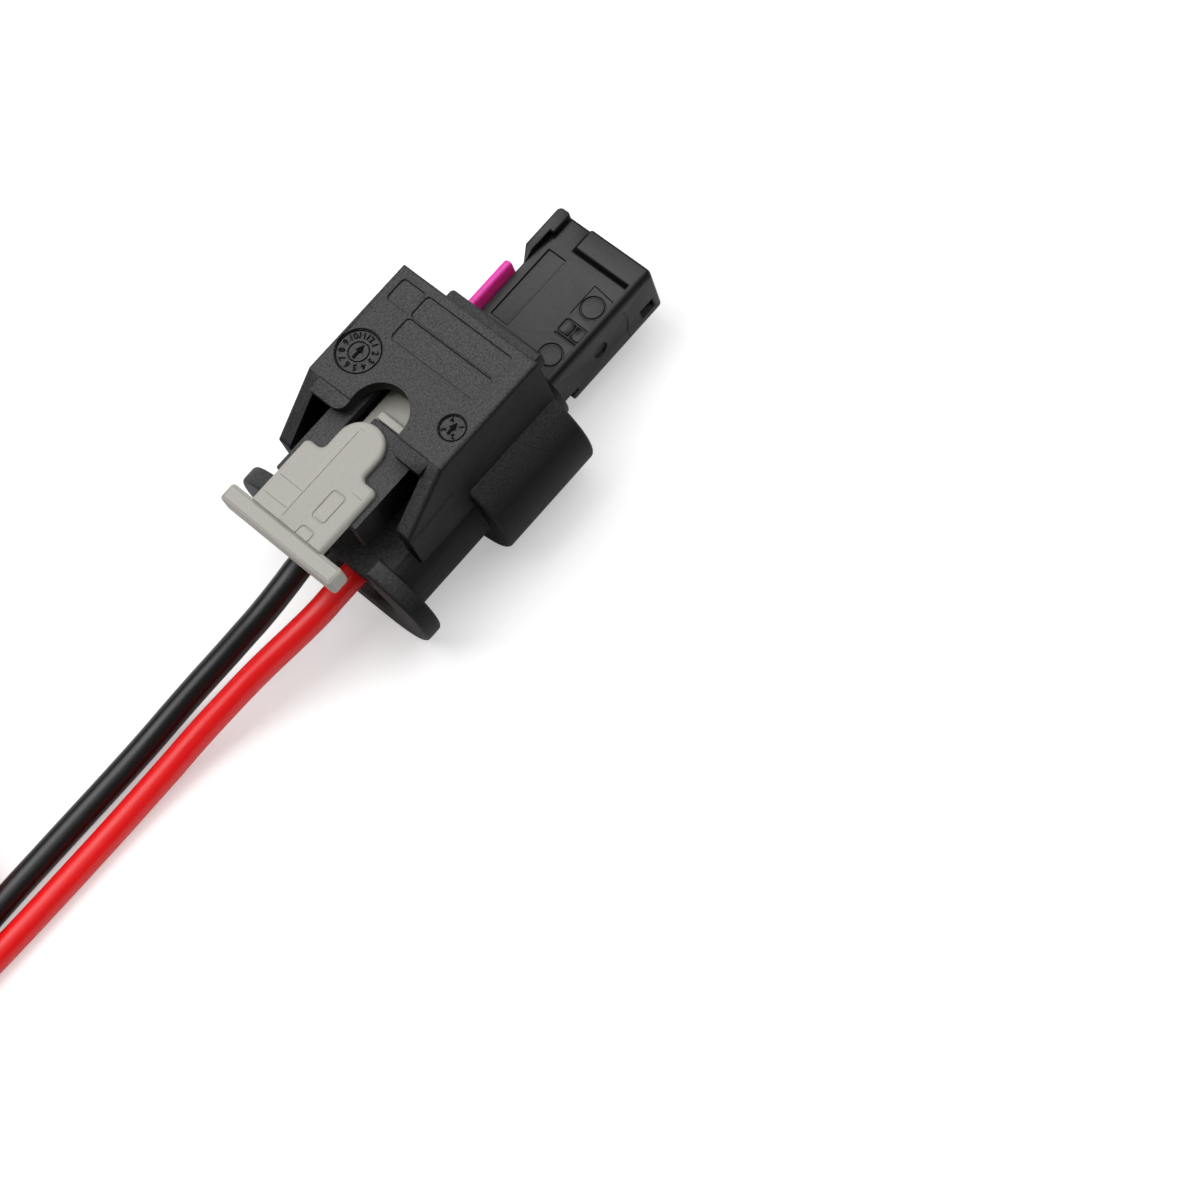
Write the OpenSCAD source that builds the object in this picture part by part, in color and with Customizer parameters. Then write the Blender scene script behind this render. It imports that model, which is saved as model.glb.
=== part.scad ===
// Two-way sealed plug connector with a rocking latch, a position-assurance slide and a pair of wires.
// Working frame of the modules: X = 0 at the mouth of the collar, +X towards the mating half,
// Z = 0 on the axis of the shell, Y = 0 on the plane of symmetry. seated() moves it onto the floor.

/* [Shell] */
// Width of the collar around the mouth
collar_w = 19.6; // [18.6:0.1:21]
// Height of the collar, which is also the height of the wire flange
collar_h = 12.2; // [11.8:0.1:12.8]
// Length of the collar along the connector
collar_len = 10; // [9:0.1:11]
// Wall of the collar
collar_wall = 1.1; // [0.8:0.05:1.3]
// Radius on the outer edges of the collar
collar_edge = 0.35; // [0.2:0.05:0.6]
// Width of the neck behind the collar
neck_w = 15.2; // [14.8:0.1:16]
// Height of the neck before its top is cut flat
neck_h = 9.4; // [9:0.1:9.8]
// Height of the neck's flat top over the shell axis
neck_flat = 3.6; // [3.3:0.05:3.8]
// Distance from the mouth to the rear face of the wire flange
shell_len = 19.75; // [19:0.05:20.5]
// Width of the wire flange
flange_w = 19.8; // [19:0.1:21]
// Thickness of the wire flange
flange_t = 1.65; // [1.3:0.05:2]
// Radius on the edges of the wire flange
flange_edge = 0.35; // [0.1:0.05:0.4]
// Height of the flange's two ears over the shell axis
ear_rise = 5.75; // [4.5:0.05:5.9]
// Gap between the two ears
ear_gap = 11.2; // [10:0.1:12]
// Width of the wire opening in the flange
wire_mouth_w = 12.8; // [11.5:0.1:13.5]
// Height of the wire opening in the flange
wire_mouth_h = 6; // [5.6:0.1:6.4]
// Depth of the wire opening
wire_mouth_depth = 1.4; // [1:0.1:1.8]

/* [Latch cover] */
// Width over the cover's side walls
cover_w = 14.1; // [13.6:0.1:15]
// Height of the cover's top over the shell axis
cover_rise = 11.2; // [10.9:0.05:11.6]
// Thickness of the cover plate
cover_t = 1.2; // [0.9:0.05:1.3]
// Length of the cover's flat top
cover_len = 10.85; // [10.2:0.05:11.5]
// Length of the sloped lip behind the flat top
cover_lip = 1.25; // [0.9:0.05:1.4]
// Depth of the lip's rear edge below the cover's top
lip_drop = 0.4; // [0.3:0.05:0.7]
// Height of the lip's rear edge
lip_t = 0.6; // [0.4:0.05:0.8]
// Thickness of the side walls and wings
wing_t = 1.35; // [1.1:0.05:1.5]
// Distance from the mouth to the rear end of the wings
wing_len = 15.95; // [15:0.05:17]
// Height of the wings' rear tip over the shell axis
wing_tip_rise = 7.2; // [6.5:0.1:8]
// Height of the wings' lower edge over the shell axis
wing_foot_rise = 2.65; // [2.2:0.05:3]
// Width of the round-ended notch in the cover
notch_w = 4.95; // [4.7:0.05:5.4]
// Distance from the mouth to the end of the notch
notch_end = 7.9; // [7.2:0.05:8.2]
// Radius on the rear corners of the notch
notch_corner = 1; // [0.5:0.1:1.2]
// Width of the slot in the collar's top for the mating half's nose
nose_slot_w = 3.8; // [3:0.1:4.4]
// Length of that slot
nose_slot_len = 6.5; // [5:0.1:8]
// Depth of the recessed panels and stamps
stamp_depth = 0.15; // [0.05:0.05:0.25]
// Diameter of the date stamp
date_stamp_d = 3.8; // [3:0.1:4.2]
// Diameter of the small stamp
small_stamp_d = 2.25; // [1.8:0.05:2.6]

/* [Latch lever] */
// Width of the lever's thumb plate
lever_w = 8.45; // [8:0.05:8.8]
// Depth of the lever's top below the cover's top
lever_drop = 1.8; // [1.7:0.05:1.9]
// Thickness of the thumb plate
lever_plate_t = 1; // [0.8:0.05:1.1]
// Height of the lever's side skirts
skirt_h = 3.5; // [3.3:0.05:3.6]
// Thickness of the side skirts
skirt_t = 0.8; // [0.6:0.05:0.9]
// Distance from the mouth to the rear end of the lever
lever_len = 18.1; // [17.6:0.05:18.2]
// Distance from the mouth to the front end of the thumb plate
plate_end = 5.7; // [5.2:0.05:6]
// Width of the crossbar that catches the mating half
crossbar_w = 9.45; // [9:0.05:10]
// Distance that the crossbar reaches in front of the mouth
crossbar_reach = 1.75; // [1.5:0.05:1.8]
// Depth of the crossbar's top below the cover's top
crossbar_drop = 4.15; // [4:0.05:4.3]
// Height of the crossbar
crossbar_h = 1.8; // [1.5:0.05:2]
// Radius of the lever's pivot stubs
pivot_r = 0.8; // [0.6:0.05:0.9]
// Distance from the mouth to the pivot axis
pivot_back = 7.5; // [7:0.1:8]
// Depth of the pivot axis below the cover's top
pivot_drop = 3.8; // [3.6:0.05:4]
// Length of the pivot stubs in the walls
pivot_seat = 0.9; // [0.7:0.05:1]

/* [Position-assurance slide] */
// Width of the slide's body
slide_w = 7.4; // [6.9:0.05:7.6]
// Thickness of the slide's body over the lever
slide_t = 0.62; // [0.5:0.01:0.7]
// Radius on the upper edges of the slide's body
slide_edge = 0.4; // [0.3:0.05:0.45]
// Distance from the mouth to the slide's rear face
slide_rear = 22.6; // [22.3:0.05:23]
// Thickness of the thumb plate at the slide's rear
thumb_t = 1.6; // [1.3:0.05:1.6]
// Length of the thumb plate across the connector
thumb_w = 11.8; // [10.6:0.1:12]
// Height of the thumb plate
thumb_h = 2.1; // [1.8:0.05:2.4]
// Width of the low ridge along the slide
ridge_w = 1.2; // [0.9:0.05:1.6]
// Height of that ridge
ridge_h = 0.12; // [0.08:0.01:0.2]
// Forward travel of the slide from open to locked
slide_travel = 2.7; // [2:0.05:2.7]
// Width of the keel that runs in the lever
keel_w = 2.4; // [2:0.1:2.8]
// Width of the slide's front arm
arm_w = 4; // [3.4:0.1:4.2]
// Distance from the mouth to the arm's tip
arm_back = 7.6; // [7.4:0.05:8.2]

/* [Contact carrier] */
// Distance that the carrier reaches in front of the mouth
carrier_reach = 13.4; // [12.8:0.05:14]
// Half width of the carrier's block on the plain side
carrier_side = 4.75; // [4.6:0.05:4.9]
// Half width of the carrier's block on the lock side
lock_side = 4.45; // [4.35:0.05:4.6]
// Height of the carrier's floor over the shell axis
carrier_floor = 1.7; // [1.6:0.05:1.85]
// Depth of the carrier's underside below the shell axis
carrier_base = 3; // [2.8:0.05:3.2]
// Radius on the upright front corners of the carrier
nose_corner = 0.45; // [0.4:0.05:1]
// Width of the quarter-round rail along the carrier's plain side
carrier_edge = 0.65; // [0.4:0.05:0.8]
// Height of the rail, the front bar and the lock-side rib over the floor
bar_h = 0.65; // [0.5:0.05:0.8]
// Length of the front bar along the connector
bar_len = 2.15; // [1.8:0.05:2.5]
// Width of the gap between the front bar and the rib's hook
bar_gap = 2.15; // [2:0.05:2.5]
// Thickness of the lock-side rib
rib_t = 0.65; // [0.5:0.05:0.8]
// Width of the seal seat behind the shoulder
seat_w = 10.4; // [10:0.1:10.8]
// Height of the seal seat
seat_h = 6.2; // [6:0.1:6.4]
// Thickness of the shoulder that holds the radial seal
shoulder_t = 1.3; // [1:0.05:1.5]
// Width of the stem in the neck
stem_w = 8.5; // [8.2:0.1:8.8]
// Height of the stem
stem_h = 4.3; // [4.2:0.05:4.6]
// Wall between the stem and the wire seals
seal_wall = 0.95; // [0.6:0.05:1.2]

/* [Contacts and wires] */
// Distance between the two contacts
contact_pitch = 4; // [3.9:0.02:4.1]
// Width of a terminal's box
terminal_w = 2; // [1.8:0.05:2.1]
// Height of a terminal's box
terminal_h = 1.9; // [1.7:0.05:2]
// Sheet thickness of the terminals
terminal_sheet = 0.25; // [0.2:0.01:0.3]
// Sheet thickness of the spring sleeves
sleeve_sheet = 0.12; // [0.08:0.01:0.15]
// Diameter of the wires over their insulation
wire_d = 2.2; // [2:0.05:2.3]
// Diameter of the bundle of strands in a wire
strands_d = 1.2; // [1:0.05:1.3]
// Diameter of a wire seal over its ribs
wire_seal_d = 3.7; // [3.5:0.05:3.75]
// Length of a wire seal
wire_seal_len = 4.6; // [4:0.1:5]
// Thickness of the radial seal
radial_seal_t = 0.75; // [0.6:0.05:0.8]
// Length of the radial seal
radial_seal_len = 4.6; // [4:0.1:5.5]

/* [Secondary lock] */
// Thickness of the lock's outer plate
lock_t = 0.7; // [0.5:0.05:0.8]
// Height of the lock plate's top over the shell axis
lock_rise = 3.1; // [2.6:0.05:3.3]
// Depth of the lock plate's foot below the shell axis
lock_foot = 2.3; // [2.1:0.05:2.5]
// Distance from the mouth to the lock plate's front end
lock_reach = 7.25; // [6.6:0.05:7.4]

/* [Coil of spare wire] */
// Radius of the coil at the middle of its turns
coil_r = 11; // [11:0.1:12]
// Width of the tie around the coil
tie_w = 2.5; // [2:0.1:4]
// Thickness of the tie
tie_t = 0.3; // [0.2:0.05:0.5]

/* [Fits] */
// Gap between parts that slide on each other
slide_gap = 0.05; // [0.03:0.01:0.06]
// Gap between parts that are put together once
seat_gap = 0.02; // [0:0.01:0.03]
// Radial clearance of the pivot stubs
pivot_gap = 0.05; // [0.03:0.01:0.08]
// Gap between parts that only pass each other
pass_gap = 0.25; // [0.2:0.01:0.3]
// Gap between the locked slide's outline and the cover around it
stop_gap = 0.4; // [0.3:0.05:0.6]

/* [Hidden] */
$fn = 48;
cut = 0.1;

// Colours as the parts show them
housing_black = [0.055, 0.055, 0.06];
carrier_black = [0.10, 0.10, 0.105];
seal_black = [0.03, 0.03, 0.035];
slide_grey = [0.62, 0.61, 0.56];
lock_magenta = [0.90, 0.08, 0.55];
wire_red_colour = [0.88, 0.03, 0.04];
wire_black_colour = [0.02, 0.02, 0.022];
tin = [0.78, 0.78, 0.76];
spring_steel = [0.66, 0.67, 0.69];
copper = [0.80, 0.45, 0.28];
tie_white = [0.85, 0.85, 0.83];

// Places along and over the shell
axis_rise = collar_h / 2;
origin_shift = (slide_rear - carrier_reach) / 2;
collar_back = -collar_len + collar_wall;
flange_front = -shell_len + flange_t;
wire_mouth_floor = -shell_len + wire_mouth_depth;
cover_under = cover_rise - cover_t;
wall_inner = cover_w / 2 - wing_t;
lip_end = cover_len + cover_lip;
lip_rise = cover_rise - lip_drop;
lip_foot = lip_rise - lip_t;
lip_step = 0.1;
notch_foot = min(cover_under, lip_foot);

// Width and depth of the fine grooves that frame fields on the parts
groove_w = 0.14;
groove_depth = 0.12;

// Bare panels and stamps on the cover, from the mouth and from the middle
panel_edge = 0.9;
panel_len = 2.1;
panel_rib = 0.15;
panel_low = -5.3;
panel_split = 3.55;
panel_high = 6.1;
panel_corner = 0.35;
date_stamp_at = [-7.55, 4.75];
small_stamp_at = [-7.85, -5.4];

// Places on the lever and the slide
lever_top = cover_rise - lever_drop;
lever_under = lever_top - lever_plate_t;
skirt_foot = lever_top - skirt_h;
crossbar_top = cover_rise - crossbar_drop;
crossbar_foot = crossbar_top - crossbar_h;
crossbar_edge = 0.5;
slope_end = 1.6;
arm_under = axis_rise + pass_gap;
pivot_rise = cover_rise - pivot_drop;
shoulder_gap = 0.1;
shoulder_back = lip_end + slide_travel + shoulder_gap;
tongue_back = notch_end + slide_travel + stop_gap;
tongue_w = notch_w - 2 * stop_gap;
slide_foot = lever_top + slide_gap;
slide_top = slide_foot + slide_t;
slide_front = -slide_rear + thumb_t;
thumb_drop = 0.23;
thumb_edge = 0.4;
plan_corner = 0.5;
foot_top = lever_under - slide_gap;
foot_h = 0.8;
foot_low = foot_top - foot_h;
foot_edge = 0.5;
foot_w = arm_w + 2 * foot_edge;
tab_show = 0.55;
tab_front = tongue_back - tab_show;
tab_bridge = 0.35;
arm_side = 0.9;
arm_drop = 0.15;
arm_top = lever_top - arm_drop;
arm_flat = 0.65;
arm_rear = tab_front - 2 * slide_gap;
arm_ramp = 0.2;
pad_end = 0.8;
keel_len = 1.7;
keel_back = lever_len - pad_end;
keel_front = keel_back - keel_len;
slot_front = keel_front - slide_travel - pass_gap;
window_back = slot_front - tab_bridge;
ridge_crest = 0.75;
pocket_low = -2.4;
pocket_high = -1;
pocket_len = 2.7;
pocket_gap = 0.8;
pocket_notch = 0.7;
pocket_inset = 0.1;

// Places in the carrier
shoulder_front = shoulder_t + seat_gap;
shoulder_w = seat_w + 2 * radial_seal_t;
shoulder_h = seat_h + 2 * radial_seal_t;
sleeve_w = terminal_w + 2 * sleeve_sheet + 2 * seat_gap;
sleeve_h = terminal_h + 2 * sleeve_sheet + 2 * seat_gap;
chamber_w = sleeve_w + 2 * slide_gap;
chamber_h = sleeve_h + 2 * slide_gap;
front_wall = 0.8;
chamber_end = carrier_reach - front_wall;
blade_slit_w = 1.6;
blade_slit_h = 1;
terminal_front = chamber_end - seat_gap;
box_back = 6.1;
sleeve_inset = 0.35;
crimp_front = 3;
crimp_back = 0;
grip_back = -2.8;
grip_front = -1;
insulation_front = -0.6;
grip_d = wire_d + 2 * terminal_sheet;
chamber_step = 0.3;
seal_back = wire_mouth_floor + 0.2;
seal_front = seal_back + wire_seal_len;
stem_back = seal_front + seal_wall;
passage_d = norm([sleeve_w, sleeve_h]) + seat_gap;
lock_slot_back = 3.5;
lock_slot_front = 6;
lock_corner = 0.5;
lock_edge = 0.24;
blade_foot = -2;
blade_top = -1.5;
tooth_top = -0.6;
tooth_w = 1;
tooth_len = 1;

// Underside step, rib, hook and marks of the carrier
step_end = 2.7;
step_base = -1.9;
undercut_len = 0.6;
undercut_h = 0.3;
undercut_depth = 1;
hook_w = 0.55;
ramp_gap = 0.8;
ramp_len = 1.2;
mark_panel = [[3.2, 1.8], [10.2, 3.6]];
index_field = [[5.2, -3.95], [6.6, -1.65]];
index_gap = 0.1;
ejector_marks = [[3.3, -2.75], [8.35, -2.75]];
ejector_mark_d = 2.1;
side_depth = 0.5;
side_pocket_depth = 0.2;
side_pocket_at = [6.5, -0.3];
side_pocket_d = 1.45;
side_slot_len = 1.4;
side_slot_front = 0.85;
side_slot_top = -1.1;
side_slot_h = 1;

// Free route of each wire behind the flange: X, Y and the lift of its underside over the floor
coil_x = -61.8;
lane = 2.4;
coil_y = lane + coil_r;
black_route = [
    [-17, 1.97, 4.95], [-19, 1.9, 4.7], [-22, 2.1, 3.9], [-24, 2.4, 3.25], [-26, 2.7, 2.6],
    [-29, 3.1, 1.8], [-32, 3.4, 1.1], [-35, 3.57, 0.6], [-38, 3.7, 0.3], [-41.5, 3.82, 0.1],
    [-45, 3.9, 0], [-52, 3.9, 0], [-57, 3.7, 0.1], [coil_x, lane + wire_d / 2, tie_t]
];
red_route = [
    [-17, -1.97, 4.97], [-19, -1.9, 4.8], [-22, -1.4, 4.2], [-24, -0.95, 3.65], [-26, -0.5, 3],
    [-29, 0, 2.15], [-32, 0.4, 1.4], [-35, 0.63, 0.8], [-38, 0.8, 0.4], [-41.5, 0.92, 0.12],
    [-45, 1, 0], [-52, 1.1, 0], [-57, 1.2, 0.1], [coil_x, lane - wire_d / 2, tie_t]
];
coil_h = 2 * wire_d;
wire_sides = 12;

// Moves the working frame onto the floor, with the origin under the middle of the connector
module seated() {
    translate([origin_shift, 0, axis_rise]) children();
}

// Extrudes an outline of the Y-Z plane from one X to another
module along_x(from, to) {
    translate([from, 0, 0]) rotate([90, 0, 90]) linear_extrude(to - from) children();
}

// Extrudes an outline of the X-Z plane from one Y to another
module along_y(from, to) {
    translate([0, to, 0]) rotate([90, 0, 0]) linear_extrude(to - from) children();
}

// A box given by its lowest and highest corners
module block(low, high) {
    translate(low) cube(high - low);
}

// Oval outline with round ends
module oval(w, h) {
    square([w - h, h], center = true);
    for (side = [-1, 1]) translate([side * (w - h) / 2, 0]) circle(d = h);
}

// Rectangle with rounded corners, given by its lowest and highest corners
module rounded_rectangle(low, high, r) {
    translate(low + [r, 0]) square(high - low - [2 * r, 0]);
    translate(low + [0, r]) square(high - low - [0, 2 * r]);
    for (x = [low.x + r, high.x - r], y = [low.y + r, high.y - r]) translate([x, y]) circle(r);
}

// Rectangle with its two upper corners rounded, given by its lowest and highest corners
module crowned_rectangle(low, high, r) {
    translate(low) square(high - low - [0, r]);
    translate(low + [r, 0]) square(high - low - [2 * r, 0]);
    intersection() {
        for (x = [low.x + r, high.x - r]) translate([x, high.y - r]) circle(r);
        translate(low) square(high - low);
    }
}

// A box with rounded edges; r holds the radii seen along X, along Y and from above
module pillow(low, high, r) {
    intersection() {
        along_x(low.x, high.x) rounded_rectangle([low.y, low.z], [high.y, high.z], r.x);
        along_y(low.y, high.y) rounded_rectangle([low.x, low.z], [high.x, high.z], r.y);
        translate([0, 0, low.z]) linear_extrude(high.z - low.z)
            rounded_rectangle([low.x, low.y], [high.x, high.y], r.z);
    }
}

// Outline of a groove along the inside of a rounded rectangle
module frame_groove(low, high) {
    difference() {
        rounded_rectangle(low, high, panel_corner);
        rounded_rectangle(low + [groove_w, groove_w], high - [groove_w, groove_w], panel_corner - groove_w);
    }
}

// Half section of a disc with rounded rims
module rim_section(r, len, edge) {
    square([r - edge, len]);
    translate([0, edge]) square([r, len - 2 * edge]);
    for (y = [edge, len - edge]) translate([r - edge, y]) circle(edge);
}

// Oval slab with rounded edges, from one X to another
module rounded_slab(w, h, from, to, edge) {
    r = h / 2;
    len = to - from;
    for (side = [-1, 1])
        translate([from, side * (w / 2 - r), 0]) rotate([0, 90, 0])
            rotate_extrude() intersection() {
                rim_section(r, len, edge);
                square([r, len]);
            }
    along_y(-(w / 2 - r), w / 2 - r) rounded_rectangle([from, -r], [to, r], edge);
}

// Tube of straight stretches along a list of points
function unit(v) = v / norm(v);
function heading(p, i) = unit(p[min(i + 1, len(p) - 1)] - p[max(i - 1, 0)]);
function ring_at(p, i, r) =
    let (t = heading(p, i), u = unit(cross([0, 0, 1], t)), v = cross(t, u))
    [for (k = [0 : wire_sides - 1]) let (turn = 360 * k / wire_sides)
        p[i] + r * (cos(turn) * u + sin(turn) * v)];

module wire_tube(p, d) {
    n = wire_sides;
    last = len(p) - 1;
    points = [for (i = [0 : last]) each ring_at(p, i, d / 2)];
    walls = [for (i = [0 : last - 1], k = [0 : n - 1])
        [i * n + k, i * n + (k + 1) % n, (i + 1) * n + (k + 1) % n, (i + 1) * n + k]];
    first_cap = [[for (k = [n - 1 : -1 : 0]) k]];
    last_cap = [[for (k = [0 : n - 1]) last * n + k]];
    polyhedron(points, concat(first_cap, walls, last_cap));
}

// Side view of a wing: cover wall, slope and rear tip
module wing_outline() {
    polygon([
        [0, neck_flat], [0, cover_rise], [-cover_len, cover_rise], [-wing_len, wing_tip_rise],
        [-wing_len, wing_foot_rise], [collar_back, wing_foot_rise]
    ]);
}

// Side view of the sloped lip behind the cover plate
module lip_outline() {
    polygon([
        [-cover_len + cut, cover_under], [-cover_len + cut, cover_rise - lip_step],
        [-cover_len, cover_rise - lip_step], [-lip_end, lip_rise], [-lip_end, lip_foot],
        [-cover_len, cover_under]
    ]);
}

module flange() {
    difference() {
        rounded_slab(flange_w, collar_h, -shell_len, flange_front, flange_edge);
        block([-shell_len - cut, -flange_w, ear_rise], [flange_front + cut, flange_w, collar_h]);
        block([-shell_len - cut, -ear_gap / 2, neck_flat], [flange_front + cut, ear_gap / 2, collar_h]);
    }
}

module neck() {
    along_x(-shell_len + flange_edge, collar_back) intersection() {
        oval(neck_w, neck_h);
        translate([-neck_w, -neck_h]) square([2 * neck_w, neck_h + neck_flat]);
    }
}

// Plan of the notch: a round end, and rear corners that open onto the lip
module notch_plan() {
    r = notch_w / 2;
    translate([-notch_end - r, 0]) circle(r);
    translate([-lip_end - cut, -r]) square([lip_end - notch_end - r + cut, notch_w]);
    for (side = [0, 1]) mirror([0, side]) translate([-lip_end, r]) difference() {
        translate([-cut, -cut]) square(notch_corner + cut);
        translate([notch_corner, notch_corner]) circle(notch_corner);
    }
}

// Recessed bare panels and stamps in the cover's top
module cover_marks() {
    floor = cover_rise - stamp_depth;
    top = cover_rise + cut;
    front_row = -panel_edge - panel_len;
    rear_row = front_row - panel_rib - panel_len;
    fields = [
        [[front_row, panel_split + panel_rib], [-panel_edge, panel_high]],
        [[front_row, panel_low], [-panel_edge, panel_split]],
        [[rear_row, panel_low], [front_row - panel_rib, panel_split]]
    ];
    for (field = fields) translate([0, 0, floor]) linear_extrude(top - floor)
        rounded_rectangle(field[0], field[1], panel_corner);
    translate([date_stamp_at.x, date_stamp_at.y, floor]) cylinder(d = date_stamp_d, h = top - floor);
    translate([small_stamp_at.x, small_stamp_at.y, floor]) cylinder(d = small_stamp_d, h = top - floor);
}

module housing() {
    color(housing_black) seated() difference() {
        union() {
            rounded_slab(collar_w, collar_h, -collar_len, 0, collar_edge);
            neck();
            flange();
            for (side = [0, 1])
                mirror([0, side, 0]) along_y(wall_inner, cover_w / 2) wing_outline();
            block([-cover_len, -cover_w / 2, cover_under], [0, cover_w / 2, cover_rise]);
            along_y(-wall_inner - cut, wall_inner + cut) lip_outline();
        }
        // Mouth, and the slot in its roof for the mating half's nose
        along_x(collar_back, cut) oval(collar_w - 2 * collar_wall, collar_h - 2 * collar_wall);
        block([-nose_slot_len, -nose_slot_w / 2, 0], [cut, nose_slot_w / 2, axis_rise + cut]);
        // Round-ended notch in the cover
        translate([0, 0, notch_foot - cut]) linear_extrude(cover_rise) notch_plan();
        cover_marks();
        // Socket for the carrier's stem, wire passages, seal bores and wire opening
        along_x(stem_back - seat_gap, collar_back + cut) oval(stem_w + 2 * seat_gap, stem_h + 2 * seat_gap);
        for (side = [-1, 1]) translate([0, side * contact_pitch / 2, 0]) rotate([0, 90, 0]) {
            translate([0, 0, seal_front - cut]) cylinder(d = passage_d, h = seal_wall + 2 * cut);
            translate([0, 0, wire_mouth_floor - cut])
                cylinder(d = wire_seal_d, h = seal_front + seat_gap - wire_mouth_floor + cut);
        }
        along_x(-shell_len - cut, wire_mouth_floor) oval(wire_mouth_w, wire_mouth_h);
        // Blind sockets for the lever's pivot stubs
        for (side = [0, 1]) mirror([0, side, 0])
            translate([-pivot_back, wall_inner - cut, pivot_rise]) rotate([-90, 0, 0])
                cylinder(r = pivot_r + pivot_gap, h = pivot_seat + cut + pivot_gap);
    }
}

// Front view of the carrier's block, with a quarter-round rail along its plain side
module carrier_outline() {
    rail_mid = carrier_edge / 2;
    rail_h = carrier_base + carrier_floor + bar_h;
    translate([-carrier_side, -carrier_base]) {
        translate([rail_mid, 0]) square([carrier_side + lock_side - rail_mid, rail_h - bar_h]);
        intersection() {
            rounded_rectangle([0, -carrier_edge], [3 * carrier_edge, rail_h], carrier_edge);
            square([carrier_edge, rail_h]);
        }
    }
}

// Plan of the carrier's block and rib: round front corners, and a flare where the rib starts
module nose_plan() {
    outer = lock_side + rib_t;
    ramp_back = lock_reach + ramp_gap;
    difference() {
        rounded_rectangle([0, -carrier_side], [carrier_reach, outer], nose_corner);
        polygon([[ramp_back, lock_side], [ramp_back + ramp_len, outer], [ramp_back, outer]]);
    }
}

// Shallow bare panel, and grooves around two index fields and two ejector marks in the carrier's floor
module floor_marks() {
    index_middle = (index_field[0].y + index_field[1].y) / 2;
    line_x = index_field[0].x - index_gap;
    block([mark_panel[0].x, mark_panel[0].y, carrier_floor - stamp_depth],
          [mark_panel[1].x, mark_panel[1].y, carrier_floor + cut]);
    translate([0, 0, carrier_floor - groove_depth]) linear_extrude(groove_depth + cut) {
        frame_groove([index_field[0].x, index_field[0].y], [index_field[1].x, index_field[1].y]);
        translate([index_field[0].x, index_middle - groove_w / 2])
            square([index_field[1].x - index_field[0].x, groove_w]);
        translate([line_x - groove_w, index_field[0].y])
            square([groove_w, index_field[1].y - index_field[0].y]);
        for (mark = ejector_marks) translate(mark) difference() {
            circle(d = ejector_mark_d);
            circle(d = ejector_mark_d - 2 * groove_w);
        }
    }
}

module contact_carrier() {
    bar_top = carrier_floor + bar_h;
    bar_back = carrier_reach - bar_len;
    hook_in = lock_side - hook_w;
    bar_end = hook_in - bar_gap;
    ramp_back = lock_reach + ramp_gap;
    plain_side = -carrier_side;
    slot_front = carrier_reach - side_slot_front;
    color(carrier_black) seated() difference() {
        union() {
            along_x(stem_back, collar_back + cut) oval(stem_w, stem_h);
            along_x(collar_back + seat_gap, cut) oval(seat_w, seat_h);
            along_x(seat_gap, shoulder_front) oval(shoulder_w, shoulder_h);
            intersection() {
                union() {
                    along_x(shoulder_front - cut, carrier_reach) carrier_outline();
                    // Front bar over the floor, which runs into the rail
                    along_x(bar_back, carrier_reach) {
                        rounded_rectangle([plain_side, 0], [bar_end, bar_top], carrier_edge);
                        square([bar_end, bar_top]);
                    }
                    // Lock-side rib with its ramp, and the hook at its front end
                    along_y(lock_side - cut, lock_side + rib_t) polygon([
                        [ramp_back, carrier_floor], [ramp_back + ramp_len, bar_top],
                        [carrier_reach, bar_top], [carrier_reach, -carrier_base], [ramp_back, -carrier_base]
                    ]);
                    block([bar_back, hook_in, carrier_floor - cut],
                          [carrier_reach, lock_side + cut, bar_top]);
                }
                translate([0, 0, -carrier_base]) linear_extrude(carrier_base + bar_top) nose_plan();
            }
        }
        // Stepped underside behind the block, with a narrow undercut
        block([shoulder_front, plain_side - cut, -carrier_base - cut], [step_end, carrier_side, step_base]);
        block([shoulder_front, plain_side - cut, step_base - undercut_h],
              [step_end + undercut_len, plain_side + undercut_depth, step_base]);
        // Contact chambers, and the slits in front of them for the mating blades
        for (side = [-1, 1]) translate([0, side * contact_pitch / 2, 0]) {
            along_x(stem_back - cut, chamber_step) circle(d = passage_d);
            along_x(chamber_step - cut, chamber_end) square([chamber_w, chamber_h], center = true);
            along_x(chamber_end - cut, carrier_reach + cut)
                square([blade_slit_w, blade_slit_h], center = true);
        }
        // Cross slot for the secondary lock's blade and teeth
        block([lock_slot_back - slide_gap, -contact_pitch / 2 - tooth_w, blade_foot - slide_gap],
              [lock_slot_front + slide_gap, carrier_side + cut, tooth_top + slide_gap]);
        floor_marks();
        // Round pocket and slot in the plain side
        translate([side_pocket_at.x, plain_side + side_pocket_depth, side_pocket_at.y]) rotate([90, 0, 0])
            cylinder(d = side_pocket_d, h = side_pocket_depth + cut);
        block([slot_front - side_slot_len, plain_side - cut, side_slot_top - side_slot_h],
              [slot_front, plain_side + side_depth, side_slot_top]);
    }
}

module radial_seal() {
    lip = 0.25;
    lip_half = 0.45;
    color(seal_black) seated() difference() {
        union() {
            along_x(-radial_seal_len, 0) oval(shoulder_w - 2 * lip, shoulder_h - 2 * lip);
            for (share = [0.25, 0.65])
                translate([-share * radial_seal_len, 0, 0])
                    rounded_slab(shoulder_w, shoulder_h, -lip_half, lip_half, lip);
        }
        along_x(-radial_seal_len - cut, cut) oval(seat_w + 2 * seat_gap, seat_h + 2 * seat_gap);
    }
}

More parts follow.
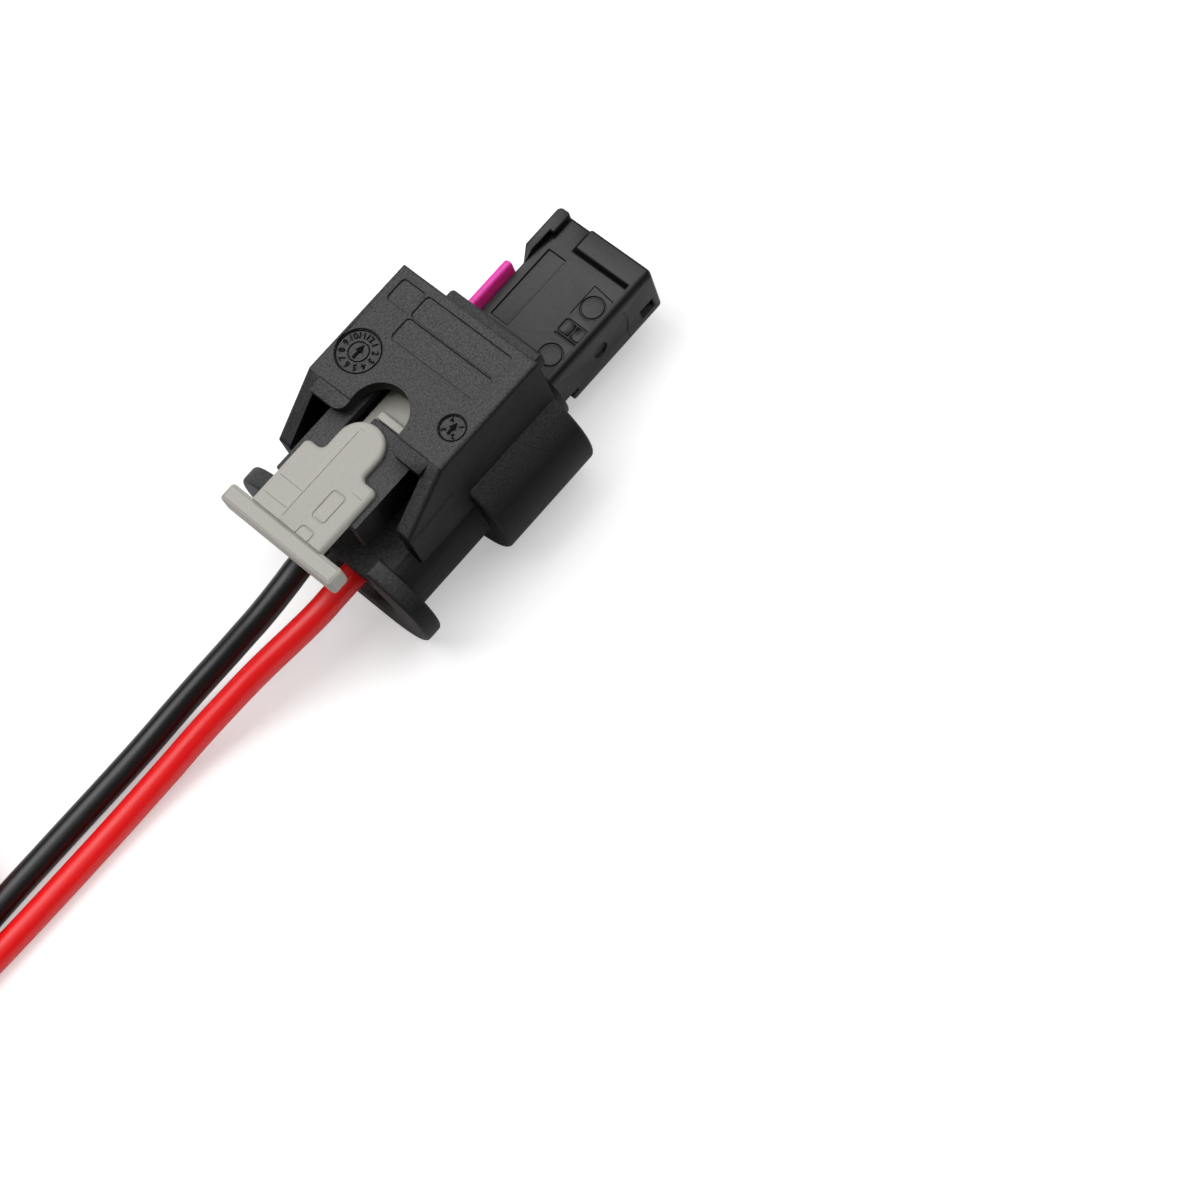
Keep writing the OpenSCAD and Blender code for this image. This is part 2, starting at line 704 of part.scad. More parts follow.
module secondary_lock() {
    plate_in = lock_side + slide_gap;
    plate_back = shoulder_front + pass_gap;
    blade_end = -contact_pitch / 2 - tooth_w / 2;
    color(lock_magenta) seated() {
        pillow([plate_back, plate_in, -lock_foot], [lock_reach, plate_in + lock_t, lock_rise],
               [lock_edge, lock_corner, lock_edge]);
        block([lock_slot_back, blade_end, blade_foot], [lock_slot_front, plate_in + cut, blade_top]);
        for (side = [-1, 1])
            block([lock_slot_front - tooth_len, side * contact_pitch / 2 - tooth_w / 2, blade_top - cut],
                  [lock_slot_front, side * contact_pitch / 2 + tooth_w / 2, tooth_top]);
    }
}

// Side view of a lever skirt, from the thumb end to the crossbar
module skirt_outline() {
    front = crossbar_reach - crossbar_edge;
    polygon([
        [-lever_len, skirt_foot], [-lever_len, lever_top], [-plate_end, lever_top],
        [-slope_end, crossbar_top], [front, crossbar_top], [front, crossbar_foot + crossbar_edge],
        [pass_gap, crossbar_foot + crossbar_edge], [pass_gap, arm_under], [-pivot_back, arm_under],
        [-collar_len, arm_under + pass_gap], [-collar_len - 2 * pass_gap, skirt_foot]
    ]);
}

// End view of the crossbar
module crossbar_outline() {
    rounded_rectangle([pass_gap, crossbar_foot], [crossbar_reach, crossbar_top], crossbar_edge);
}

module latch_lever() {
    half_w = lever_w / 2;
    color(housing_black) seated() {
        difference() {
            union() {
                block([-lever_len, -half_w, lever_under], [-plate_end, half_w, lever_top]);
                for (side = [0, 1])
                    mirror([0, side, 0]) along_y(half_w - skirt_t, half_w) skirt_outline();
                along_y(-crossbar_w / 2, crossbar_w / 2) crossbar_outline();
            }
            // Keel slot, the window for the slide's front arm and a channel beside the window's tab
            block([-keel_back - pass_gap, -keel_w / 2 - slide_gap, lever_under - cut],
                  [-slot_front, keel_w / 2 + slide_gap, lever_top + cut]);
            block([-tab_front, -arm_w / 2 - pass_gap, lever_under - cut],
                  [-plate_end + cut, arm_w / 2 + pass_gap, lever_top + cut]);
            block([-window_back, arm_side, lever_under - cut],
                  [-tab_front + cut, arm_w / 2 + pass_gap, lever_top + cut]);
        }
        for (side = [0, 1]) mirror([0, side, 0])
            translate([-pivot_back, half_w - skirt_t / 2, pivot_rise]) rotate([-90, 0, 0])
                cylinder(r = pivot_r, h = wall_inner + pivot_seat - half_w + skirt_t / 2);
    }
}

// Straight stretch of the slide's body along X, with rounded upper edges
module slide_stretch(w, from, to) {
    along_x(from, to) crowned_rectangle([-w / 2, slide_foot], [w / 2, slide_top], slide_edge);
}

// Round end of the slide's body around a point of its plan
module slide_round(at, r) {
    translate([at.x, at.y, slide_foot]) rotate_extrude() intersection() {
        crowned_rectangle([-r, 0], [r, slide_t], slide_edge);
        square([r, slide_t]);
    }
}

// Hollow corner where the tongue meets a shoulder, with the rounded edge carried round it
module slide_fillet(at) {
    reach = plan_corner + slide_edge;
    difference() {
        block([at.x - reach, at.y - reach, slide_foot], [at.x, at.y, slide_top]);
        translate([at.x, at.y, slide_foot - cut]) rotate_extrude() {
            square([plan_corner, slide_t + 2 * cut]);
            translate([0, slide_t + cut]) square([reach, cut]);
            translate([0, slide_t + cut - slide_edge]) difference() {
                square([reach, slide_edge + cut / 2]);
                translate([reach, 0]) circle(slide_edge);
            }
        }
    }
}

// Body of the slide: shoulders, tongue and rounded upper edges
module slide_body() {
    tip_r = tongue_w / 2;
    corner_x = -shoulder_back - plan_corner;
    front_w = slide_w - 2 * plan_corner;
    slide_stretch(slide_w, slide_front - cut, corner_x);
    along_y(-front_w / 2, front_w / 2)
        crowned_rectangle([corner_x - slide_w / 2, slide_foot], [-shoulder_back, slide_top], slide_edge);
    for (side = [-1, 1]) slide_round([corner_x, side * front_w / 2], plan_corner);
    slide_stretch(tongue_w, corner_x, -tongue_back - tip_r);
    slide_round([-tongue_back - tip_r, 0], tip_r);
    for (side = [0, 1]) mirror([0, side, 0])
        slide_fillet([-shoulder_back + plan_corner, tip_r + plan_corner]);
}

// End view of the ridge along the slide's top: a step on one side and a slope on the other
module ridge_outline() {
    foot = ridge_crest - ridge_w;
    polygon([
        [ridge_crest, slide_foot], [ridge_crest, slide_top + ridge_h],
        [ridge_crest - ridge_w / 4, slide_top + ridge_h], [foot, slide_top], [foot, slide_foot]
    ]);
}

// Side view of the rib across the front arm, which shows in the notch
module arm_rib_outline() {
    front = -arm_rear + arm_flat;
    polygon([
        [-arm_rear, foot_low], [-arm_rear, arm_top], [front, arm_top],
        [front + arm_ramp, foot_top], [front + arm_ramp, foot_low]
    ]);
}

// Grooves around a shallow pocket and a notch on one half of the slide's body
module slide_grooves() {
    open_end = slide_front - cut - panel_corner;
    closed_end = slide_front + pocket_inset + pocket_notch;
    pocket_back = closed_end + pocket_gap;
    translate([0, 0, slide_top - groove_depth]) linear_extrude(groove_depth + cut) {
        frame_groove([pocket_back, pocket_low], [pocket_back + pocket_len, pocket_high]);
        frame_groove([open_end, pocket_low], [closed_end, pocket_high]);
    }
}

module assurance_slide() {
    thumb_top = slide_top - thumb_drop;
    color(slide_grey) seated() difference() {
        union() {
            slide_body();
            pillow([-slide_rear, -thumb_w / 2, thumb_top - thumb_h], [slide_front, thumb_w / 2, thumb_top],
                   [thumb_edge, thumb_edge, thumb_edge]);
            along_x(slide_front - cut, -tongue_back - plan_corner - slide_edge) ridge_outline();
            // Keel through the lever, the foot under its plate and the front arm in its window
            block([-keel_back, -keel_w / 2, foot_low], [-keel_front, keel_w / 2, slide_foot + cut]);
            block([-keel_back, -foot_w / 2, foot_low], [-window_back, foot_w / 2, foot_top]);
            block([-window_back - cut, -arm_w / 2, foot_low], [-arm_back, arm_w / 2, foot_top]);
            along_y(-arm_w / 2, arm_side) arm_rib_outline();
        }
        slide_grooves();
    }
}

// Crimped terminal: hollow box, open neck, strand crimp and insulation grip
module terminal() {
    inner_w = terminal_w - 2 * terminal_sheet;
    inner_h = terminal_h - 2 * terminal_sheet;
    neck_low = tooth_top + 3 * slide_gap;
    neck_high = inner_h / 2;
    strip_w = strands_d;
    riser_back = (insulation_front + crimp_back) / 2;
    strip_end = chamber_step - slide_gap;
    color(tin) difference() {
        union() {
            along_x(box_back, terminal_front) square([terminal_w, terminal_h], center = true);
            for (side = [0, 1]) mirror([0, side, 0])
                block([crimp_front - cut, inner_w / 2, neck_low],
                      [box_back + cut, terminal_w / 2, neck_high]);
            block([crimp_front - cut, -terminal_w / 2, neck_low],
                  [box_back, terminal_w / 2, neck_low + terminal_sheet]);
            along_x(crimp_back, crimp_front) circle(d = strands_d + 2 * terminal_sheet);
            along_x(grip_back, grip_front) circle(d = grip_d);
            // Strip under the wire that joins the grip to the strand crimp
            block([grip_back, -strip_w / 2, -grip_d / 2], [strip_end, strip_w / 2, -wire_d / 2]);
            block([riser_back, -strip_w / 2, -grip_d / 2], [strip_end, strip_w / 2, 0]);
        }
        along_x(box_back - cut, terminal_front + cut) square([inner_w, inner_h], center = true);
        along_x(insulation_front, crimp_front + cut) circle(d = strands_d);
        along_x(grip_back - cut, grip_front + cut) circle(d = wire_d);
    }
}

// Spring sleeve around a terminal's box
module spring_sleeve() {
    color(spring_steel) along_x(box_back + sleeve_inset, terminal_front - sleeve_inset) difference() {
        square([sleeve_w, sleeve_h], center = true);
        square([sleeve_w, sleeve_h] - 2 * [sleeve_sheet, sleeve_sheet], center = true);
    }
}

// Stripped strands in a crimp
module strands() {
    color(copper) along_x(insulation_front, crimp_front - cut) circle(d = strands_d - 2 * seat_gap);
}

// Ribbed seal between a wire and its bore
module wire_seal() {
    rib = 0.35;
    core_r = wire_seal_d / 2 - rib;
    color(seal_black) translate([seal_back, 0, 0]) rotate([0, 90, 0]) difference() {
        union() {
            cylinder(r = core_r, h = wire_seal_len);
            for (share = [0.2, 0.5, 0.8]) translate([0, 0, share * wire_seal_len])
                rotate_extrude() translate([core_r, 0]) circle(rib - seat_gap);
        }
        translate([0, 0, -cut]) cylinder(d = wire_d, h = wire_seal_len + 2 * cut);
    }
}

// Places a contact's own pieces in one of the two chambers
module in_chamber(side) {
    seated() translate([0, side * contact_pitch / 2, 0]) children();
}

module terminal_black() {
    in_chamber(1) terminal();
}

module terminal_red() {
    in_chamber(-1) terminal();
}

module spring_sleeve_black() {
    in_chamber(1) spring_sleeve();
}

module spring_sleeve_red() {
    in_chamber(-1) spring_sleeve();
}

module strands_black() {
    in_chamber(1) strands();
}

module strands_red() {
    in_chamber(-1) strands();
}

module wire_seal_black() {
    in_chamber(1) wire_seal();
}

module wire_seal_red() {
    in_chamber(-1) wire_seal();
}

// Straight run of a wire inside the connector, from its grip to the flange
function inner_route(side) = [
    for (x = [insulation_front, seal_front, seal_back, -shell_len])
        [x + origin_shift, side * contact_pitch / 2, axis_rise]
];

// The free route lifted by half a wire, so that the wire rests on the floor
function laid(route) = [for (p = route) p + [0, 0, wire_d / 2]];

module wire_black() {
    color(wire_black_colour) wire_tube(concat(inner_route(1), laid(black_route)), wire_d);
}

module wire_red() {
    color(wire_red_colour) wire_tube(concat(inner_route(-1), laid(red_route)), wire_d);
}

// Outer shape of one wire's turns, lying on the tie
module coil(r) {
    translate([coil_x, coil_y, tie_t]) rotate_extrude()
        translate([r - wire_d / 2 + seat_gap, 0]) square([wire_d - 2 * seat_gap, coil_h]);
}

module coil_black() {
    color(wire_black_colour) coil(coil_r - wire_d / 2);
}

module coil_red() {
    color(wire_red_colour) coil(coil_r + wire_d / 2);
}

module coil_tie() {
    inner = coil_r - wire_d;
    color(tie_white) translate([coil_x, coil_y, 0]) difference() {
        block([-tie_w / 2, inner - tie_t, 0], [tie_w / 2, coil_r + wire_d + tie_t, coil_h + 2 * tie_t]);
        translate([0, 0, tie_t - seat_gap]) rotate_extrude()
            translate([inner, 0]) square([2 * wire_d, coil_h + 2 * seat_gap]);
    }
}

housing();
contact_carrier();
radial_seal();
secondary_lock();
latch_lever();
assurance_slide();
terminal_black();
terminal_red();
spring_sleeve_black();
spring_sleeve_red();
strands_black();
strands_red();
wire_seal_black();
wire_seal_red();
wire_black();
wire_red();
coil_black();
coil_red();
coil_tie();
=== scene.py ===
# %% [markdown]
# # A two-way sealed plug connector
#
# The part is a small plug for an engine's wiring: a black housing with a latch cover, a contact
# carrier that stands out of the mouth, a grey slide that locks the latch, a magenta lock for the
# terminals and two wires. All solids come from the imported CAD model, which is the fixed frame here.
# This script adds what a mould and a photographer would add: rounded mould edges, fine surface
# grain, a date dial, wires that really bend, light and a camera.

# %% Load the frame
import bpy
import bmesh
from itertools import combinations
from math import cos, inf, pi, radians, sin, tan
from mathutils import Matrix, Vector


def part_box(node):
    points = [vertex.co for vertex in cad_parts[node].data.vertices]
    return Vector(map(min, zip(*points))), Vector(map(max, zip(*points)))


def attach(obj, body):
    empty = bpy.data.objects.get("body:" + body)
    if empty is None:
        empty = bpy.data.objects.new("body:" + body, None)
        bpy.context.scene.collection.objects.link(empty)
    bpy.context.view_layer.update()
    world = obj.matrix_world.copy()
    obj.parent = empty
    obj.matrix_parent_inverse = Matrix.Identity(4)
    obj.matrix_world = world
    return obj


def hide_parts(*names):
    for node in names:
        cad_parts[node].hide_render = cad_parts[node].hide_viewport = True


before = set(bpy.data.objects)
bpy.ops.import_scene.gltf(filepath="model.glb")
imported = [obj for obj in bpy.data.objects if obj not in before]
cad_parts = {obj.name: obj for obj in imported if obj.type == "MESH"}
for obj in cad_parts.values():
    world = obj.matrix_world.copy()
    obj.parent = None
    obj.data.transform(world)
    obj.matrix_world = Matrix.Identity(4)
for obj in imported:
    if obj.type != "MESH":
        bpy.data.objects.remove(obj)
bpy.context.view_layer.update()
MM = 0.001

# %% [markdown]
# ## The camera
#
# The photograph looks steeply down on the connector from behind its left rear corner, with a long
# lens and the picture turned so that the connector points to the upper right. A place, a point to
# look at and the direction that is up in the picture say all of that, so the camera's axes are
# built from these three and not from angles.

# %% Camera
camera_place = Vector((-37.674, -94.443, 195.980)) * MM
camera_target = Vector((-3.857, -16.806, 1.1)) * MM
picture_up = Vector((0.74058, 0.57016, 0.35561))

towards_camera = (camera_place - camera_target).normalized()
picture_right = picture_up.cross(towards_camera).normalized()
picture_up = towards_camera.cross(picture_right)
camera_data = bpy.data.cameras.new("camera")
camera_data.sensor_width = 36
camera_data.lens = 82.06
camera_data.clip_start = 0.01
camera = bpy.data.objects.new("camera", camera_data)
camera.matrix_world = Matrix((picture_right, picture_up, towards_camera)).transposed().to_4x4()
camera.location = camera_place
bpy.context.scene.collection.objects.link(camera)
bpy.context.scene.camera = camera
print("camera looks from", [round(v, 3) for v in towards_camera])

# %% [markdown]
# ## The two wires
#
# Each wire is 2.2 mm over its insulation and 180 mm long. It leaves its seal straight, sinks to
# the floor in an easy curve and runs out of the picture side by side with its neighbour. The rest
# is put away as a neat coil on the floor: the black wire winds inside, the red one outside, each
# with two layers. A free wire is one smooth curve through a few given points. The turns
# follow a rule, so a loop makes them.

# %% Routes of the wires
wire_d = 2.2
tie_t = 0.3
lane = 2.4
coil_x = -61.8
coil_r = 11
coil_y = lane + coil_r
contact_pitch = 4
axis_rise = 6.1
flange_rear = -15.15

inner_xs = [4.0, -8.95, -13.55, flange_rear]
black_free = [
    (-17, 1.97, 4.95), (-19, 1.9, 4.7), (-22, 2.1, 3.9), (-24, 2.4, 3.25), (-26, 2.7, 2.6),
    (-29, 3.1, 1.8), (-32, 3.4, 1.1), (-35, 3.57, 0.6), (-38, 3.7, 0.3), (-41.5, 3.82, 0.1),
    (-45, 3.9, 0), (-52, 3.9, 0), (-57, 3.7, 0.1), (coil_x, lane + wire_d / 2, tie_t),
]
red_free = [
    (-17, -1.97, 4.97), (-19, -1.9, 4.8), (-22, -1.4, 4.2), (-24, -0.95, 3.65), (-26, -0.5, 3),
    (-29, 0, 2.15), (-32, 0.4, 1.4), (-35, 0.63, 0.8), (-38, 0.8, 0.4), (-41.5, 0.92, 0.12),
    (-45, 1, 0), (-52, 1.1, 0), (-57, 1.2, 0.1), (coil_x, lane - wire_d / 2, tie_t),
]


def coil_point(radius, turned):
    """A point on the turns, clockwise from the wire's way in, with one step up to a second layer."""
    ramp_from, ramp_to = 215, 310
    share = min(1, max(0, (turned - ramp_from) / (ramp_to - ramp_from)))
    rise = wire_d * (3 * share ** 2 - 2 * share ** 3)
    angle = radians(-90 - turned)
    height = tie_t + wire_d / 2 + rise
    return (coil_x + radius * cos(angle), coil_y + radius * sin(angle), height)


def wire_route(side, free, radius, turned_in_all, step=15):
    """All points of a wire in mm: inside the housing, free on the floor, and in its coil."""
    inner = [(x, side * contact_pitch / 2, axis_rise) for x in inner_xs]
    laid = [(x, y, lift + wire_d / 2) for x, y, lift in free]
    turns = [coil_point(radius, turned) for turned in range(step, turned_in_all + 1, step)]
    return inner + laid + turns


coils = {"black": (coil_r - wire_d / 2, 660), "red": (coil_r + wire_d / 2, 540)}
routes = {
    "black": wire_route(1, black_free, *coils["black"]),
    "red": wire_route(-1, red_free, *coils["red"]),
}
print("points on each route:", {colour: len(points) for colour, points in routes.items()})

# %% [markdown]
# ## Wires as curves
#
# A curve with a round bevel is the simplest honest wire: it keeps one thickness however it bends,
# and its length can be measured. The cut end of each wire is stripped, as on a lead that is sold
# for splicing: seven bare strands, twisted a little, stand out of the insulation.

# %% Wires and their stripped ends
def put(name, data):
    """Makes an object of some data and puts it in the scene."""
    piece = bpy.data.objects.new(name, data)
    bpy.context.scene.collection.objects.link(piece)
    return piece


def wire_curve(name, points, diameter):
    """A smooth round wire through points, all in mm."""
    curve = bpy.data.curves.new(name, "CURVE")
    curve.dimensions = "3D"
    curve.bevel_depth = 1
    curve.bevel_resolution = 6
    curve.resolution_u = 6
    curve.use_fill_caps = True
    spline = curve.splines.new("BEZIER")
    spline.bezier_points.add(len(points) - 1)
    for knot, point in zip(spline.bezier_points, points):
        knot.co = Vector(point) * MM
        knot.radius = diameter / 2 * MM
        knot.handle_left_type = knot.handle_right_type = "AUTO"
    return put(name, curve)


def add_tube(work, points, radius, sides=8):
    """Adds a closed tube along points, all in mm, to a mesh that is being made."""
    rings = []
    turns = [2 * pi * k / sides for k in range(sides)]
    for i, point in enumerate(points):
        ahead = points[min(i + 1, len(points) - 1)] - points[max(i - 1, 0)]
        across = ahead.cross(Vector((0, 0, 1))).normalized()
        upward = across.cross(ahead).normalized()
        spokes = [cos(t) * across + sin(t) * upward for t in turns]
        rings.append([work.verts.new((point + radius * spoke) * MM) for spoke in spokes])
    for ring, following in zip(rings, rings[1:]):
        for k in range(sides):
            work.faces.new((ring[k], ring[k - 1], following[k - 1], following[k]))
    work.faces.new(rings[0])
    work.faces.new(reversed(rings[-1]))


def mesh_piece(name, work):
    """Turns a mesh that was being made into a piece, with its faces looking outward."""
    bmesh.ops.recalc_face_normals(work, faces=work.faces)
    mesh = bpy.data.meshes.new(name)
    work.to_mesh(mesh)
    work.free()
    return put(name, mesh)


def stripped_end(colour, tip_len=4.0, strand_d=0.4, twist=120):
    """Seven strands that go on along the last turn, six of them wound round the middle one."""
    radius, turned = coils[colour]
    steps = 10
    work = bmesh.new()
    for strand in range(7):
        points = []
        for k in range(steps + 1):
            along = tip_len * (k / steps - 0.1)
            angle = radians(turned) + along / radius
            middle = Vector(coil_point(radius, turned + along / radius * 180 / pi))
            outward = Vector((cos(-pi / 2 - angle), sin(-pi / 2 - angle), 0))
            turn = radians(60 * strand + twist * k / steps)
            offset = 0 if strand == 6 else strand_d
            points.append(middle + offset * (cos(turn) * outward + sin(turn) * Vector((0, 0, 1))))
        add_tube(work, points, strand_d / 2)
    return mesh_piece(f"stripped_end_{colour}", work)


wires = {}
tips = {}
for colour in ("black", "red"):
    wires[colour] = wire_curve(f"insulation_{colour}", routes[colour], wire_d)
    tips[colour] = stripped_end(colour)
    for piece in (wires[colour], tips[colour]):
        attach(piece, "shell")
    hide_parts(f"wire_{colour}", f"coil_{colour}")
print("wires:", [wire.name for wire in wires.values()])

# %% [markdown]
# ## Floor and light
#
# The photograph has two large soft lights. One stands ahead of the connector's nose: it throws a
# short, soft shadow towards the wires. The other hangs behind the latch, and its mirror image is the
# bright line along each wire. The faces that look up are grey and the sides fall off to black, so
# there is little light from all around. Two disc lamps and a dim sky do that. The floor is a pale
# sheet that adds some white of its own where the camera or a mirror sees it, and more of it far out
# where the lamps don't reach, so it shows as white paper without more light on the connector, and it
# still keeps the shadow.

# %% Floor
def new_material(name):
    """An empty node material and its tree."""
    material = bpy.data.materials.new(name)
    material.use_nodes = True
    material.node_tree.nodes.clear()
    return material, material.node_tree


def add(tree, kind, **values):
    """Adds a node, and sets its settings and its input sockets by name."""
    node = tree.nodes.new(kind)
    for key, value in values.items():
        if hasattr(node, key):
            setattr(node, key, value)
        else:
            node.inputs[key.replace("_", " ")].default_value = value
    return node


def paper_floor(paleness, own_white, mirrored_share):
    """Pale paper that adds its own white for the camera, and a share of it for mirrors."""
    material, tree = new_material("white_paper")
    link = tree.links.new
    paper = add(tree, "ShaderNodeBsdfDiffuse", Color=(paleness, paleness, paleness, 1))
    path = add(tree, "ShaderNodeLightPath")
    mirrored = add(tree, "ShaderNodeMath", operation="MAXIMUM")
    dimmed = add(tree, "ShaderNodeMath", operation="MULTIPLY")
    dimmed.inputs[1].default_value = mirrored_share
    seen = add(tree, "ShaderNodeMath", operation="MAXIMUM")
    place = add(tree, "ShaderNodeTexCoord")
    distance = add(tree, "ShaderNodeVectorMath", operation="LENGTH")
    white = add(tree, "ShaderNodeMapRange", From_Min=0.2, From_Max=0.8, To_Min=own_white, To_Max=1.0)
    strength = add(tree, "ShaderNodeMath", operation="MULTIPLY")
    glow = add(tree, "ShaderNodeEmission")
    both = add(tree, "ShaderNodeAddShader")
    output = add(tree, "ShaderNodeOutputMaterial")
    link(path.outputs["Is Glossy Ray"], mirrored.inputs[0])
    link(path.outputs["Is Transmission Ray"], mirrored.inputs[1])
    link(path.outputs["Is Camera Ray"], seen.inputs[0])
    link(mirrored.outputs[0], dimmed.inputs[0])
    link(dimmed.outputs[0], seen.inputs[1])
    link(place.outputs["Object"], distance.inputs[0])
    link(distance.outputs["Value"], white.inputs["Value"])
    link(seen.outputs[0], strength.inputs[0])
    link(white.outputs["Result"], strength.inputs[1])
    link(strength.outputs[0], glow.inputs["Strength"])
    link(paper.outputs[0], both.inputs[0])
    link(glow.outputs[0], both.inputs[1])
    link(both.outputs[0], output.inputs["Surface"])
    return material


floor_mesh = bpy.data.meshes.new("floor")
reach = 3.0
floor_corners = [(-reach, -reach, 0), (reach, -reach, 0), (reach, reach, 0), (-reach, reach, 0)]
floor_mesh.from_pydata(floor_corners, [], [(0, 1, 2, 3)])
floor_mesh.materials.append(paper_floor(paleness=0.88, own_white=0.40, mirrored_share=0.1))
floor = put("floor", floor_mesh)
floor.location.z = -0.05 * MM
print("floor reaches", reach, "m each way")

# %% Light
def soft_lamp(name, place, size, power):
    """A round lamp, in metres and watts, that looks at the connector."""
    data = bpy.data.lights.new(name, "AREA")
    data.shape = "DISK"
    data.size = size
    data.energy = power
    lamp = put(name, data)
    lamp.location = place
    lamp.rotation_euler = (-Vector(place)).to_track_quat("-Z", "Y").to_euler()
    return lamp


# On the black mouldings part of the grey on faces that look up is not lamp light but painted into their
# colour, as painted sheen (see the moulded plastics).
key_lamp = soft_lamp("key_lamp", place=(0.38, -0.04, 0.78), size=1.2, power=5.5)
top_lamp = soft_lamp("top_lamp", place=(-0.22, 0.36, 0.80), size=0.72, power=4.4)
world = bpy.data.worlds.new("light_tent")
world.use_nodes = True
sky = world.node_tree.nodes["Background"]
sky.inputs["Color"].default_value = (1, 1, 1, 1)
sky.inputs["Strength"].default_value = 0.1
bpy.context.scene.world = world
bpy.context.scene.view_settings.view_transform = "Standard"
print("lamps in W:", {lamp.name: round(lamp.data.energy, 1) for lamp in (key_lamp, top_lamp)})

# %% [markdown]
# ## Moulded plastics
#
# The housing is a glass-filled plastic from a spark-eroded mould. On the faces that open straight
# out of the mould the grain is coarse, and on the drawn sides it is rubbed smooth. One function
# makes all the plastics: a colour with fine speckle, grain as bump, and a roughness that wanders a
# little. Where a second colour is given, the direction of the surface mixes it in, so no face is
# given its colour one by one: this is painted light, dark grey on the faces that look up and black
# on the sides, standing in partly for the coarse grain and partly for the lamps' sheen on the tops.

# %% Plastic finishes
def moulded_plastic(name, colour, roughness, grain_mm, grain_depth, eroded_and_lit=None, eroded_and_lit_from=0.78,
                    speckle=0.1, specular=0.3, glow_through=0):
    """A plastic with grain of grain_mm; its second colour is painted on the faces that look up, lighter
    for their grain and for the lamps' sheen.
    """
    material, tree = new_material(name)
    link = tree.links.new
    place = add(tree, "ShaderNodeTexCoord")
    grain = add(tree, "ShaderNodeTexNoise", Scale=1 / (grain_mm * MM), Detail=2.0, Roughness=0.6)
    clouds = add(tree, "ShaderNodeTexNoise", Scale=400.0, Detail=3.0)
    rough = add(tree, "ShaderNodeMapRange", To_Min=roughness - 0.06, To_Max=roughness + 0.06)
    light_and_dark = add(tree, "ShaderNodeMapRange", From_Min=0.25, From_Max=0.75,
                         To_Min=1 - speckle, To_Max=1 + speckle)
    tint = add(tree, "ShaderNodeVectorMath", operation="SCALE")
    bump = add(tree, "ShaderNodeBump", Strength=grain_depth, Distance=grain_mm * MM * 0.5)
    plastic = add(tree, "ShaderNodeBsdfPrincipled")
    plastic.inputs["Specular IOR Level"].default_value = specular
    plastic.inputs["Subsurface Weight"].default_value = glow_through
    plastic.inputs["Subsurface Radius"].default_value = (1, 0.25, 0.4)
    plastic.inputs["Subsurface Scale"].default_value = 1 * MM
    output = add(tree, "ShaderNodeOutputMaterial")
    for noise in (grain, clouds):
        link(place.outputs["Object"], noise.inputs["Vector"])
    if eroded_and_lit:
        # Painted light: faces that look up get the lighter second colour, mixed in by the normal's Z
        # from the given threshold up, for their coarse grain and for the lamps' sheen; the same share
        # deepens the grain bump.
        facing = add(tree, "ShaderNodeSeparateXYZ")
        upward = add(tree, "ShaderNodeMapRange", From_Min=eroded_and_lit_from, From_Max=1.0)
        eroded_and_lit_mix = add(tree, "ShaderNodeMixRGB", Color1=(*colour, 1), Color2=(*eroded_and_lit, 1))
        depth = add(tree, "ShaderNodeMapRange", To_Min=grain_depth * 0.25, To_Max=grain_depth)
        link(place.outputs["Normal"], facing.inputs[0])
        link(facing.outputs["Z"], upward.inputs["Value"])
        link(upward.outputs["Result"], eroded_and_lit_mix.inputs["Fac"])
        link(upward.outputs["Result"], depth.inputs["Value"])
        link(depth.outputs["Result"], bump.inputs["Strength"])
        link(eroded_and_lit_mix.outputs["Color"], tint.inputs[0])
    else:
        tint.inputs[0].default_value = colour
    link(grain.outputs["Fac"], light_and_dark.inputs["Value"])
    link(light_and_dark.outputs["Result"], tint.inputs["Scale"])
    link(tint.outputs["Vector"], plastic.inputs["Base Color"])
    link(clouds.outputs["Fac"], rough.inputs["Value"])
    link(rough.outputs["Result"], plastic.inputs["Roughness"])
    link(grain.outputs["Fac"], bump.inputs["Height"])
    link(bump.outputs["Normal"], plastic.inputs["Normal"])
    link(plastic.outputs[0], output.inputs["Surface"])
    return material


# The lighter second colour of the two black plastics is painted light on the faces that look up, partly
# their coarse grain and partly the lamps' sheen; the number after it sets how steep a slope still gets
# it.
housing_black = moulded_plastic("housing_black", (0.004, 0.004, 0.0042), 0.5, 0.16, 0.9,
                                eroded_and_lit=(0.073, 0.073, 0.074), eroded_and_lit_from=0.45,
                                speckle=0.5, specular=0.15)
carrier_black = moulded_plastic("carrier_black", (0.004, 0.004, 0.0041), 0.4, 0.3, 0.12,
                                eroded_and_lit=(0.054, 0.0538, 0.055), eroded_and_lit_from=0.92, specular=0.25)
slide_grey = moulded_plastic("slide_grey", (0.455, 0.445, 0.40), 0.5, 0.25, 0.05, speckle=0.03)
lock_magenta = moulded_plastic("lock_magenta", (1.0, 0.05, 0.48), 0.35, 0.3, 0.03, speckle=0.02,
                               specular=0.6, glow_through=0.8)
insulation_black = moulded_plastic("insulation_black", (0.004, 0.004, 0.0042), 0.36, 0.5, 0.03,
                                   specular=0.6)
insulation_red = moulded_plastic("insulation_red", (1.0, 0.008, 0.01), 0.34, 0.5, 0.03, speckle=0.01,
                                 specular=0.5, glow_through=1.0)
insert_black = moulded_plastic("insert_black", (0.003, 0.003, 0.0031), 0.5, 0.3, 0.05, specular=0.05)
seal_black = moulded_plastic("seal_black", (0.008, 0.008, 0.0084), 0.6, 0.3, 0.05)
tie_white = moulded_plastic("tie_white", (0.75, 0.75, 0.72), 0.5, 0.3, 0.06, speckle=0.03)
wires["black"].data.materials.append(insulation_black)
wires["red"].data.materials.append(insulation_red)
